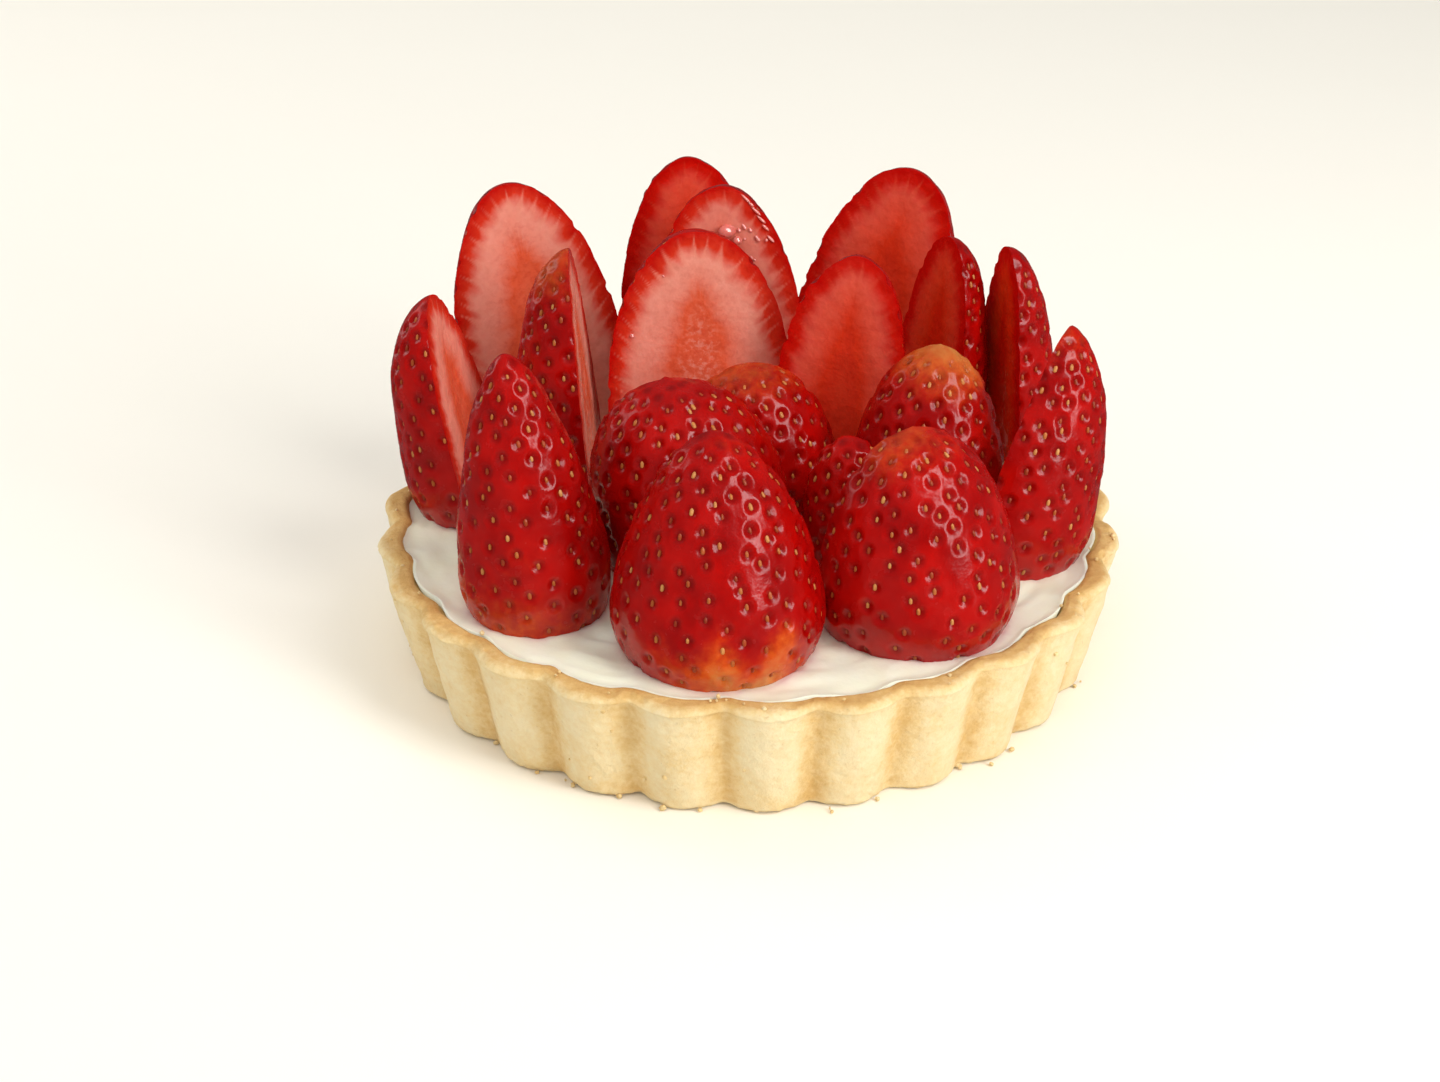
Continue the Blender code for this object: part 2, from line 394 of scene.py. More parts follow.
def skin_material():
    """Deep red glossy skin with painted shade darkening the pits, orange at an unripe stem end and tan at an
    unripe tip.
    """
    n = Nodes("strawberry_skin", 0.3, subsurface=0.10, radius=(1.0, 0.12, 0.08), shine=0.36)
    blotch = n.noise(6.0, detail=3.0)
    red = n.mix(n.ramp(blotch, ((0.35, 0.0), (0.65, 1.0))), DEEP_RED, RIPE_RED)
    # painted shade: the deeper a point lies in a pit, the darker its red
    pit = n.attribute("pit")
    red = n.mix(n.math("MULTIPLY", pit, 0.75), red, PIT_SHADE_RED)
    pale = n.math("ADD", n.attribute("pale"), n.math("MULTIPLY", n.math("SUBTRACT", blotch, 0.5), 0.30))
    mottle = n.noise(1.3, detail=3.0, roughness=0.6)
    pale = n.math("ADD", pale, n.math("MULTIPLY", n.math("SUBTRACT", mottle, 0.5), 0.45))
    share = n.ramp(pale, ((0.12, 0.0), (0.80, 1.0)))
    unripe = n.ramp(pale, (
        (0.2, (0.56, 0.012, 0.001)), (0.55, (0.72, 0.11, 0.008)), (1.0, (0.50, 0.28, 0.08))))
    husk = n.math("MULTIPLY", n.attribute("husk"), 0.85, clamp=True)
    unripe = n.mix(husk, unripe, HUSK_TAN)
    n.feed("Base Color", n.mix(share, red, unripe))
    sheen = n.noise(2.5, detail=3.0)
    n.feed("Roughness", n.ramp(sheen, ((0.3, 0.15), (0.7, 0.30))))
    fine = n.bump(n.noise(0.35, detail=2.0), 0.02)
    n.feed("Normal", n.bump(n.noise(1.6, detail=2.0), 0.06, fine))
    return n.material


def flesh_material():
    """A wet cut face: red outer band crossed by pale ribs, a pale ring and an orange-red core."""
    n = Nodes("strawberry_flesh", 0.25, subsurface=0.15, radius=(1.0, 0.25, 0.15), shine=0.16)
    grain = n.attribute("grain", "Vector")
    depth = n.attribute("depth")
    pale = n.attribute("pale")
    fibres = n.noise_on(n.stretched(grain, (0.55, 0.25, 1.0)), detail=3.0)
    wander = n.noise(4.0, detail=2.0)
    mottle = n.noise(0.9, detail=3.0, roughness=0.65)
    place = n.math("ADD", depth, n.math("MULTIPLY", n.math("SUBTRACT", fibres, 0.5), 0.16))
    place = n.math("ADD", place, n.math("MULTIPLY", n.math("SUBTRACT", wander, 0.5), 0.20))
    rich = n.ramp(place, (
        (0.0, (0.52, 0.002, 0.001)), (0.16, (0.62, 0.003, 0.001)), (0.36, (0.77, 0.028, 0.003)),
        (0.52, (0.77, 0.030, 0.003)), (0.75, (0.69, 0.012, 0.001)), (1.0, (0.70, 0.020, 0.001))))
    light = n.ramp(place, (
        (0.0, (0.54, 0.006, 0.003)), (0.13, (0.70, 0.040, 0.015)), (0.29, (0.88, 0.34, 0.25)),
        (0.46, (0.86, 0.30, 0.21)), (0.66, (0.78, 0.125, 0.05)), (1.0, (0.78, 0.16, 0.08))))
    colour = n.mix(pale, rich, light)
    rib = n.math("MULTIPLY", n.attribute("rib"), n.math("ADD", 0.22, n.math("MULTIPLY", pale, 0.40)))
    colour = n.mix(rib, colour, n.mix(pale, (0.80, 0.08, 0.025), (0.86, 0.34, 0.24)))
    inward = n.ramp(depth, ((0.3, 0.10), (0.8, 0.42)))
    speck = n.math("MULTIPLY", n.ramp(mottle, ((0.45, 0.0), (0.70, 1.0))), inward)
    colour = n.mix(speck, colour, FLESH_SPECK)
    palest = n.ramp(pale, ((0.9, 0.0), (1.0, 1.0)))
    seedbed = n.math("MULTIPLY", n.ramp(depth, ((0.62, 0.0), (0.95, 0.75))), palest)
    pith = n.math("MULTIPLY", n.ramp(mottle, ((0.35, 1.0), (0.50, 0.0))), seedbed)
    colour = n.mix(pith, colour, FLESH_PITH)
    n.feed("Base Color", colour)
    n.feed("Roughness", n.ramp(wander, ((0.3, 0.16), (0.7, 0.34))))
    relief = n.bump(mottle, 0.05)
    n.feed("Normal", n.bump(n.noise(1.8, detail=2.0), 0.12, relief))
    return n.material


def seed_material():
    """Small dry seeds, from dark red-brown to straw."""
    n = Nodes("strawberry_seed", 0.35)
    tone = n.attribute("tone")
    n.feed("Base Color", n.ramp(tone, (
        (0.0, (0.22, 0.014, 0.004)), (0.45, (0.38, 0.06, 0.012)),
        (0.8, (0.50, 0.15, 0.03)), (1.0, (0.62, 0.28, 0.08)))))
    n.feed("Normal", n.bump(n.noise(0.25), 0.03))
    return n.material


def crust_material():
    """Dry shortcrust, pale on the wall, golden on the rim and darker in the flute valleys with painted shade,
    with fine grain and a few dark specks.
    """
    n = Nodes("shortcrust", 0.75, subsurface=0.05, radius=(1.0, 0.6, 0.3))
    # The attribute holds the baked colour, with painted shade added in the flute valleys.
    bake = n.attribute("bake")
    patches = n.noise(7.0, detail=4.0, roughness=0.6)
    mottle = n.noise(1.1, detail=3.0, roughness=0.7)
    amount = n.math("ADD", bake, n.math("MULTIPLY", n.math("SUBTRACT", patches, 0.5), 0.75))
    amount = n.math("ADD", amount, n.math("MULTIPLY", n.math("SUBTRACT", mottle, 0.5), 0.55))
    colour = n.ramp(amount, (
        (0.0, (0.88, 0.74, 0.46)), (0.28, (0.83, 0.63, 0.32)),
        (0.58, (0.70, 0.44, 0.155)), (1.0, (0.54, 0.27, 0.07))))
    specks = n.ramp(n.noise(0.7, detail=2.0, roughness=0.7), ((0.66, 0.0), (0.76, 1.0)))
    colour = n.mix(n.math("MULTIPLY", specks, 0.30), colour, CRUST_SPECK)
    n.feed("Base Color", colour)
    n.feed("Roughness", n.ramp(mottle, ((0.3, 0.62), (0.7, 0.85))))
    grain = n.bump(n.noise(0.40, detail=3.0, roughness=0.65), 0.14)
    n.feed("Normal", n.bump(n.noise(1.4, detail=3.0), 0.28, grain))
    return n.material


def cream_material():
    """Set cream, soft and even, with a blush of juice round the fruit."""
    n = Nodes("set_cream", 0.42, subsurface=0.18, radius=(1.0, 0.8, 0.6))
    drift = n.noise(7.0, detail=3.0)
    colour = n.mix(n.ramp(drift, ((0.35, 0.0), (0.7, 1.0))), CREAM_SHADE, CREAM_LIGHT)
    juice = n.math("MULTIPLY", n.attribute("juice"), n.ramp(n.noise(2.0), ((0.2, 0.5), (0.8, 1.0))))
    colour = n.mix(juice, colour, CREAM_STAIN)
    n.feed("Base Color", colour)
    n.feed("Roughness", n.ramp(n.noise(3.0, detail=2.0), ((0.3, 0.32), (0.7, 0.55))))
    n.feed("Normal", n.bump(n.noise(1.2, detail=2.0), 0.05))
    return n.material


def juice_material():
    n = Nodes("juice", 0.06, subsurface=0.1, radius=(1.0, 0.2, 0.1), coat=1.0)
    n.feed("Base Color", n.mix(n.noise(1.0), (0.70, 0.13, 0.10), (0.78, 0.24, 0.20)))
    return n.material


# ---- Crust ----


def lobe(turn):
    """1 on the crown of a flute and 0 in a valley, with wide crowns and narrow valleys."""
    drift = DRIFT_DEG * ((1 + np.cos(turn - radians(DRIFT_CENTRE_DEG - 90))) / 2) ** 3
    phase = FLUTES * (turn + pi / 2 - np.radians(FIRST_LOBE_DEG - drift))
    sharpness = 0.15
    raw = np.sqrt(np.cos(phase / 2) ** 2 + sharpness**2)
    return (raw - sharpness) / ((1 + sharpness**2) ** 0.5 - sharpness)


def outer_radius(turn, z):
    mean = BASE_RADIUS + (RIM_RADIUS - BASE_RADIUS) * z / CRUST_HEIGHT
    return mean - FLUTE_DEPTH * (1 - lobe(turn))


def inner_radius(turn, z):
    rim = RIM_RADIUS - WALL_THICKNESS - INNER_WAVE * (1 - lobe(turn))
    share = (z - FLOOR_THICKNESS) / (CRUST_HEIGHT - FLOOR_THICKNESS)
    return FLOOR_RADIUS + (rim - FLOOR_RADIUS) * share


def polar(turn, radius, z):
    return np.stack([radius * np.cos(turn), radius * np.sin(turn), np.broadcast_to(z, turn.shape)], axis=-1)


def stamp(points, centres, radii, depths):
    """Depth at each point of round hollows pressed at the centres."""
    total = np.zeros(len(points))
    for centre, radius, depth in zip(centres, radii, depths):
        near = np.abs(points[:, 2] - centre[2]) < radius
        gap = np.linalg.norm(points[near] - centre, axis=1) / radius
        total[near] += depth * np.clip(1 - gap * gap, 0, 1) ** 2
    return total


def crust_rows(turn):
    """Rings of points from the base, up the wall, over the rim and down inside, and how baked each is."""
    top = CRUST_HEIGHT
    rows = []
    bakes = []

    def add(radius, z, bake):
        rows.append(polar(turn, radius, z))
        bakes.append(np.full(CRUST_STEPS, bake))

    for inset, z in ((6.0, 0.0), (0.7, 0.0), (0.3, 0.12), (0.1, 0.35)):
        add(outer_radius(turn, 0.0) - inset, z, 0.22)
    for z in np.linspace(0.7, top - OUTER_ROUND, WALL_ROWS):
        share = z / top
        add(outer_radius(turn, z), z, 0.08 + 0.12 * (1 - share) ** 3 + 0.14 * share**6)
    outer = outer_radius(turn, top)
    inner = inner_radius(turn, top)
    for angle in np.linspace(0.12, 1, 10) * pi / 2:
        radius = outer - OUTER_ROUND * (1 - cos(angle))
        add(radius, top - OUTER_ROUND * (1 - sin(angle)), 0.22 + 0.30 * sin(angle) ** 3)
    for share in np.linspace(0.15, 0.85, 6):
        add((outer - OUTER_ROUND) * (1 - share) + (inner + INNER_ROUND) * share, top, 0.62)
    for angle in np.linspace(0, 1, 5) * pi / 2:
        add(inner + INNER_ROUND * (1 - sin(angle)), top - INNER_ROUND * (1 - cos(angle)), 0.70)
    for z in (top - 1.6, top - 2.4, FLOOR_THICKNESS):
        add(inner_radius(turn, z), z, 0.6)
    return rows, bakes


def wall_pits(points, rng):
    """Depth at each point of the small hollows scattered over the wall."""
    turn = rng.uniform(0, 2 * pi, WALL_PITS)
    z = rng.uniform(1.0, CRUST_HEIGHT - 1.0, WALL_PITS)
    radii = rng.uniform(0.5, 1.1, WALL_PITS)
    depths = rng.uniform(0.06, 0.24, WALL_PITS)
    return stamp(points, polar(turn, outer_radius(turn, z), z), radii, depths)


def build_crust():
    """The case, with lumps and pits on its wall and a soft, uneven rim."""
    rng = np.random.default_rng(11)
    turn = 2 * pi * np.arange(CRUST_STEPS) / CRUST_STEPS
    top = CRUST_HEIGHT
    rows, bakes = crust_rows(turn)
    points = np.concatenate(rows)
    bake = np.concatenate(bakes)
    count = len(rows)
    radius = np.hypot(points[:, 0], points[:, 1])
    out = np.stack([points[:, 0] / radius, points[:, 1] / radius, np.zeros(len(points))], axis=-1)

    # the wall: broad lumps, fine grain, small pits and a ragged foot
    height = points[:, 2]
    on_wall = smooth_step(0.0, 1.5, height)
    relief = on_wall * (0.30 * layered(points, 10.0, 3, 3) + 0.10 * layered(points, 2.4, 7, 3))
    ragged = np.exp(-height / 0.9) * np.abs(layered(points, 1.6, 21, 2))
    relief -= 0.45 * ragged
    relief -= wall_pits(points, rng)
    points = points + out * relief[:, None]

    # the rim: a soft edge that rises, dips and crumbles a little
    on_rim = smooth_step(top - 3.0, top - 0.4, height)
    swell = 0.42 * layered(points, 9.0, 31, 2) + 0.16 * layered(points, 3.0, 37, 3) - 0.25
    near_edge = np.exp(-np.abs(radius - np.tile(outer_radius(turn, top), count) + 0.8))
    crumble = np.clip(layered(points, 1.8, 41, 2) - 0.25, 0, 1) * near_edge
    points[:, 2] += on_rim * (swell - 0.7 * crumble)
    points += out * (on_rim * (0.30 * layered(points, 4.5, 43, 2)))[:, None]
    points[:, 2] = np.clip(points[:, 2], 0, None)

    # Painted shade: the flute valleys of the wall are darkened, less so near the rim. The ragged foot is
    # browned a little more.
    valley = 1 - lobe(np.tile(turn, count))
    bake = bake + 0.34 * smooth_step(0.2, 1.0, valley) * on_wall * (1 - 0.5 * on_rim) + 0.08 * ragged

    base_pole = len(points)
    floor_pole = base_pole + 1
    points = np.vstack([points, [[0, 0, 0], [0, 0, FLOOR_THICKNESS]]])
    bake = np.append(bake, [0.4, 0.4])
    faces = [
        grid_faces(count, CRUST_STEPS),
        fan_faces(0, CRUST_STEPS, base_pole, outward=False),
        fan_faces((count - 1) * CRUST_STEPS, CRUST_STEPS, floor_pole, outward=True),
    ]
    crust = mesh_piece("crust_baked", points, faces, crust_material(), {"bake": bake})
    finish_piece(crust, "pastry", "crust")
    return crust


# ---- Strawberries ----


class Body:
    """A berry's own axes and outline, which the skin, the cut face and the seeds share."""

    def __init__(self, berry, index):
        self.berry = berry
        self.index = index
        self.foot = np.array([*berry.foot, CREAM_TOP - SINK])
        self.tip = np.array(berry.tip)
        self.length = np.linalg.norm(self.tip - self.foot)
        self.core = (self.tip - self.foot) / self.length
        self.whole = berry.face is None
        turn = 0.0 if self.whole else radians(berry.face)
        look = np.array([cos(turn), sin(turn), 0.0])
        look -= self.core * look.dot(self.core)
        self.look = look / np.linalg.norm(look)
        self.side = np.cross(self.core, self.look)
        self.along = np.linspace(0, 1, OUTLINE_STEPS)
        self.outline = self.half_width(self.along)
        step = np.hypot(np.diff(self.along) * self.length, np.diff(self.outline))
        self.travel = np.concatenate([[0], np.cumsum(step)])

    def half_width(self, along):
        berry = self.berry
        body = (1 - np.clip(along, 0, 1) ** berry.fullness) ** berry.point
        short = np.clip(1 - along / SHOULDER, 0, None)
        return berry.width / 2 * body * (1 - SHOULDER_DRAW * short**2)

    def offset(self, along):
        return 0.0 * along if self.whole else self.berry.cut * self.berry.width / 2 * (1 - along)

    def centre(self, along):
        along = np.asarray(along)[..., None]
        sway = self.berry.bow * np.sin(pi * along)
        return self.foot + self.core * self.length * along + self.side * sway - self.look * self.offset(along)

    def spread(self, angle):
        return self.look * np.cos(angle)[..., None] + self.side * np.sin(angle)[..., None]

    def surface(self, along, angle):
        return self.centre(along) + self.half_width(along)[..., None] * self.spread(angle)

    def normal(self, along, angle):
        """Outward direction of the skin."""
        step = 0.004
        low = np.clip(along - step, 0, 1)
        high = np.clip(along + step, 0, 1)
        slope = (self.half_width(high) - self.half_width(low)) / ((high - low) * self.length)
        raw = self.spread(angle) - self.core * slope[..., None]
        return raw / np.linalg.norm(raw, axis=-1, keepdims=True)

    def edge_angle(self, along):
        """Half the opening that the cut leaves in a ring of skin."""
        return np.arccos(np.clip(self.offset(along) / np.maximum(self.half_width(along), 1e-6), -1, 1))

    def seeds(self):
        """(along, angle) of the seeds, in even spirals that close up towards the tip."""
        ring = 2 * pi * self.outline
        spacing = SEED_SPACING + (TIP_SPACING - SEED_SPACING) * self.along**2
        rng = np.random.default_rng(100 + self.index)
        spacing = spacing * rng.uniform(0.94, 1.10)
        density = ring / spacing**2
        steps = np.diff(self.travel)
        total = np.concatenate([[0], np.cumsum((density[1:] + density[:-1]) / 2 * steps)])
        count = int(total[-1])
        place = np.arange(count) + 0.5
        along = np.interp(place, total, self.along)
        golden = pi * (3 - 5**0.5)
        angle = place * golden + rng.normal(0, 0.06, count)
        along = np.clip(along + rng.normal(0, 0.006, count), 0.01, 0.985)
        return along, np.mod(angle, 2 * pi)


def seed_relief(body, points):
    """Height of the skin with its pits and the lips round them, and how deep in a pit each point lies, which
    also sets the painted shade in the pits.
    """
    along, angle = body.seeds()
    centres = body.surface(along, angle)
    nearest = np.full(len(points), 9.0)
    for centre in centres:
        near = np.abs((points - centre) @ body.core) < 2.5
        gap = np.linalg.norm(points[near] - centre, axis=1)
        nearest[near] = np.minimum(nearest[near], gap)
    pit = np.exp(-((nearest / (0.66 * PIT_RADIUS)) ** 3))
    lip = np.exp(-(((nearest - PIT_RADIUS) / 0.30) ** 2))
    return 0.08 - PIT_DEPTH * pit + 0.07 * lip, pit


def skin_lumps(body, points):
    """Broad and small lumps, which the skin and the seeds on it share."""
    broad = 0.38 * layered(points, 11.0, 200 + body.index, 2)
    return broad + 0.10 * layered(points, 3.5, 300 + body.index, 2)


def skin_grid(body):
    """Rows of places round the skin, from the stem end up: the share of the length, and the angle."""
    rows = max(40, int(body.travel[-1] / SKIN_STEP))
    opening = 0.0 if body.whole else 2 * float(body.edge_angle(np.array(0.35)))
    columns = max(30, int(body.berry.width / 2 * (2 * pi - opening) / SKIN_STEP))
    along = np.interp(np.linspace(0, 1, rows + 1)[:-1] * body.travel[-1], body.travel, body.along)
    if body.whole:
        angle = np.broadcast_to(2 * pi * np.arange(columns) / columns, (rows, columns))
    else:
        edge = body.edge_angle(along)[:, None]
        angle = edge + (2 * pi - 2 * edge) * np.linspace(0, 1, columns)
    return np.broadcast_to(along[:, None], angle.shape), angle


def skin_paleness(body, points, along, normals):
    """How unripe each point of the skin is, and how much of that comes from the tip."""
    berry = body.berry
    patch = layered(points, 9.0, 400 + body.index, 2)
    husk = berry.pale_tip * smooth_step(0.74, 1.04, along + 0.08 * patch)
    stem = berry.pale_foot * smooth_step(0.60, 1.02, 1 - along + 0.16 * patch)
    if berry.pale_turn is not None:
        turn = radians(berry.pale_turn)
        toward = normals[:, 0] * cos(turn) + normals[:, 1] * sin(turn)
        stem = stem * np.clip(0.3 + 0.8 * toward, 0, 1)
    return husk + stem, husk


def rib_strength(grain, seed):
    """Pale ribs on a cut face, from 0 to 1. Each runs from the ring to a seed and narrows on its way out."""
    along = grain[:, 0] + 1.3 * noise(grain * [0.22, 0.10, 1.0], 1.0, seed)
    depth = grain[:, 1]
    wave = np.abs(np.mod(along / RIB_SPACING, 1.0) - 0.5) * 2
    number = np.floor(along / RIB_SPACING).astype(int)
    strength = 0.62 + 0.75 * (lattice(number, number * 0, number * 0, seed) - 0.4)
    start = 0.84 - 0.62 * smooth_step(0.8, 5.0, depth)
    fade = smooth_step(0.25, 1.1, depth) * (1 - smooth_step(4.0, 7.0, depth))
    return np.clip(smooth_step(start, start + 0.26, wave) * strength * fade, 0, 1)


def cut_face(body, points):
    """Points across the cut, a little hollow, with how far in each lies and where its nearest edge is."""
    berry = body.berry
    across = max(14, int(berry.width / FLESH_STEP))
    share = np.linspace(0, 1, across + 2)[1:-1]
    share = (share - 0.10 * np.sin(2 * pi * share))[None, :, None]
    chord = points[:, -1:] * (1 - share) + points[:, :1] * share
    depth, place = face_distances(body, points, chord)
    hollow = FACE_HOLLOW * smooth_step(0.25, 1.0, depth / depth.max())
    ripple = 0.10 * layered(chord.reshape(-1, 3), 3.0, 500 + body.index, 3).reshape(hollow.shape)
    fade = smooth_step(0.0, 1.2, depth)
    chord = chord + body.look * ((ripple - hollow) * fade)[..., None]
    sideways = (chord - body.foot) @ body.side
    place = place - 0.55 * depth * np.clip(sideways / (0.25 * berry.width), -1, 1)
    return chord, depth, place


def add_cut_face(body, points, fields):
    """Widens the grid of the skin by the cut face, and every field on it with it."""
    rows, columns = points.shape[:2]
    for end in (0, -1):
        off = (points[:, end] - body.foot) @ body.look
        points[:, end] -= off[:, None] * body.look
    chord, depth, place = cut_face(body, points)
    flat = np.stack([place, depth, np.full_like(place, 7.0 * body.index)], axis=-1)
    across = {
        "pit": np.zeros_like(depth),
        "pale": np.full_like(depth, body.berry.pale_flesh),
        "husk": np.zeros_like(depth),
        "depth": depth / depth.max(),
        "grain": flat,
    }
    wide = {name: np.concatenate([fields[name], across[name]], axis=1) for name in across}
    grain = wide["grain"]
    grain[:, 0] = grain[:, -1]
    grain[:, columns - 1] = grain[:, columns]
    strength = rib_strength(grain.reshape(-1, 3), 600 + body.index)
    wide["rib"] = strength.reshape(rows, -1)
    return np.concatenate([points, chord], axis=1), wide


def build_berry(body, skin, flesh):
    """One strawberry: pitted skin, and a wet cut face if it has one."""
    berry = body.berry
    along, angle = skin_grid(body)
    rows, columns = angle.shape
    along, angle = along.ravel(), angle.ravel()
    points = body.surface(along, angle)
    normals = body.normal(along, angle)
    height, pit = seed_relief(body, points)
    tip_fade = smooth_step(0.0, 0.08, 1 - along)
    points = points + normals * ((height * tip_fade) + skin_lumps(body, points))[:, None]
    pale, husk = skin_paleness(body, points, along, normals)
    points = points.reshape(rows, columns, 3)
    fields = {
        "pit": pit.reshape(rows, columns),
        "pale": pale.reshape(rows, columns),
        "husk": husk.reshape(rows, columns),
        "depth": np.zeros((rows, columns)),
        "grain": np.zeros((rows, columns, 3)),
        "rib": np.zeros((rows, columns)),
    }
    if not body.whole:
        points, fields = add_cut_face(body, points, fields)
    total = points.shape[1]

    # two poles close the stem end and the tip
    points = points.reshape(-1, 3)
    tip_pole = len(points)
    foot_pole = tip_pole + 1
    points = np.vstack([points, body.tip, points[:total].mean(axis=0)])
    faces = [
        grid_faces(rows, total),
        fan_faces((rows - 1) * total, total, tip_pole, outward=True),
        fan_faces(0, total, foot_pole, outward=False),
    ]
    on_face = np.arange(total) >= (total if body.whole else columns - 1)
    kinds = np.concatenate([np.tile(on_face, rows), np.zeros(total)]).astype(np.int32)

    tips = {"pale": berry.pale_tip, "husk": berry.pale_tip}
    feet = {"pale": berry.pale_foot}
    attributes = {}
    for name, values in fields.items():
        flat = values.reshape(rows * total, *values.shape[2:])
        poles = np.zeros((2, *flat.shape[1:]))
        poles[0] += tips.get(name, 0.0)
        poles[1] += feet.get(name, 0.0)
        attributes[name] = np.concatenate([flat, poles])
    piece = mesh_piece(berry.name.replace("strawberry", "fruit"), points, faces, [skin, flesh],
                       attributes, kinds, sharp_deg=62)
    finish_piece(piece, "strawberry", berry.name)
    return piece


def face_distances(body, points, chord):
    """For each point of the cut face, how far in it lies and where along the outline its nearest edge is."""
    outline = np.concatenate([points[:, -1], body.tip[None], points[::-1, 0]])
    flat = np.stack([(outline - body.foot) @ body.side, (outline - body.foot) @ body.core], axis=-1)
    travel = np.concatenate([[0], np.cumsum(np.linalg.norm(np.diff(flat, axis=0), axis=1))])
    inside = np.stack([(chord - body.foot) @ body.side, (chord - body.foot) @ body.core], axis=-1)
    shape = inside.shape[:2]
    inside = inside.reshape(-1, 2)
    depth = np.empty(len(inside))
    place = np.empty(len(inside))
    for start in range(0, len(inside), 2000):
        part = inside[start:start + 2000]
        gaps = np.linalg.norm(part[:, None] - flat[None], axis=-1)
        depth[start:start + 2000] = gaps.min(axis=1)
        weight = np.exp(-(gaps - gaps.min(axis=1, keepdims=True)) / 0.8)
        place[start:start + 2000] = (weight * travel).sum(axis=1) / weight.sum(axis=1)
    return depth.reshape(shape), place.reshape(shape)


def seed_template():
    """Points, quads and triangles of one seed of unit size, its long side along Y."""
    points = []
    for share in SEED_RINGS:
        lift = sin(pi * share)
        reach = -cos(pi * share)
        narrow = 1 - 0.30 * max(reach, 0.0)
        for step in range(SEED_AROUND):
            turn = 2 * pi * step / SEED_AROUND
            points.append((lift * cos(turn) * narrow, reach, lift * sin(turn) * narrow))
    points.append((0.0, -1.0, 0.0))
    points.append((0.0, 1.12, 0.0))
    rings = len(SEED_RINGS)
    quads = grid_faces(rings, SEED_AROUND)[:, ::-1]
    low = fan_faces(0, SEED_AROUND, rings * SEED_AROUND, outward=True)
    high = fan_faces((rings - 1) * SEED_AROUND, SEED_AROUND, rings * SEED_AROUND + 1, outward=False)
    return np.array(points), quads, np.concatenate([low, high])


def seed_places(body):
    """(along, angle) of the seeds that show: on the skin, off the cut and out of the cream."""
    along, angle = body.seeds()
    if not body.whole:
        edge = body.edge_angle(along)
        clear = 0.35 / np.maximum(body.half_width(along), 1.0)
        kept = (angle > edge + clear) & (angle < 2 * pi - edge - clear)
        along, angle = along[kept], angle[kept]
    kept = body.surface(along, angle)[:, 2] > CREAM_TOP - 0.3
    return along[kept], angle[kept]


def build_seeds(bodies):
    """Every seed as a small drop, its long side towards the tip, lying in its pit."""
    rng = np.random.default_rng(5)
    template, quads, tris = seed_template()
    all_points, all_quads, all_tris, tones = [], [], [], []
    count = 0
    for body in bodies:
        along, angle = seed_places(body)
        centres = body.surface(along, angle)
        normals = body.normal(along, angle)
        up = body.core - normals * (normals @ body.core)[:, None]
        up /= np.linalg.norm(up, axis=1, keepdims=True)
        across = np.cross(up, normals)
        size = rng.uniform(0.82, 1.15, len(centres))
        tone = rng.uniform(0.15, 1.0, len(centres))
        centres = centres + normals * (skin_lumps(body, centres) - PIT_DEPTH + 0.10)[:, None]
        for k in range(len(centres)):
            local = template * np.array(SEED_SIZE) * size[k]
            all_points.append(centres[k] + local @ np.stack([across[k], up[k], normals[k]]))
            all_quads.append(quads + count)
            all_tris.append(tris + count)
            tones.append(np.full(len(template), tone[k]))
            count += len(template)
    seeds = mesh_piece("strawberry_seeds", np.concatenate(all_points),
                       [np.concatenate(all_quads), np.concatenate(all_tris)], seed_material(),
                       {"tone": np.concatenate(tones)})
    finish_piece(seeds, "strawberry")
    return seeds


# ---- Drops of juice ----


def build_drops(bodies):
    """Beads of juice on the wet cut faces, most of them on the one behind the middle."""
    rng = np.random.default_rng(31)
    by_name = {body.berry.name: body for body in bodies}
    wettest = "strawberry_middle_back"
    beads = list(BEADS)
    for _ in range(SMALL_BEADS):
        beads.append((wettest, rng.uniform(0.70, 0.86), rng.uniform(0.30, 0.78),
                      rng.uniform(0.22, 0.42), rng.uniform(0.7, 1.8)))
    for along in EDGE_BEADS:
        beads.append((wettest, along, 0.86, 0.28, rng.uniform(2.4, 4.2)))
    ball, tris = unit_ball()
    points, faces = [], []
    facing = np.array(BEAD_FACING) / np.linalg.norm(BEAD_FACING)
    for index, (name, along, share, radius, stretch) in enumerate(beads):
        body = by_name[name]
        along = np.array(along)
        reach = float(body.half_width(along)) * sin(float(body.edge_angle(along)))
        middle = body.foot + body.core * body.length * along
        middle = middle + body.side * (share * reach + body.berry.bow * sin(pi * float(along)))
        lean = share * 0.8
        long_way = body.core * cos(lean) - body.side * sin(lean)
        long_way = long_way - facing * long_way.dot(facing)
        long_way /= np.linalg.norm(long_way)
        wide_way = np.cross(long_way, facing)
        shaped = ball * (1 + 0.10 * noise(ball + index * 3.0, 0.8, 91))[:, None]
        axes = np.stack([wide_way * radius, long_way * radius * stretch, facing * radius * BEAD_HEIGHT])
        points.append(middle + body.look * radius * 0.12 + shaped @ axes)
        faces.append(tris + index * len(ball))
    drops = mesh_piece("juice_drops", np.concatenate(points), [np.concatenate(faces)], juice_material())
    finish_piece(drops, "strawberry")
    return drops


# ---- Cream ----


def outline_at_cream(body):
    """The outline of a berry where it enters the cream."""
    along = np.full(CREAM_EDGE_STEPS, 1.2 * SINK / body.length)
    if body.whole:
        return body.surface(along, np.linspace(0, 2 * pi, CREAM_EDGE_STEPS))[:, :2]
    edge = float(body.edge_angle(along[0]))
    arc = body.surface(along, np.linspace(edge, 2 * pi - edge, CREAM_EDGE_STEPS))
    share = np.linspace(0, 1, 40)[:, None]
    chord = arc[-1] * (1 - share) + arc[0] * share
    return np.concatenate([arc, chord])[:, :2]


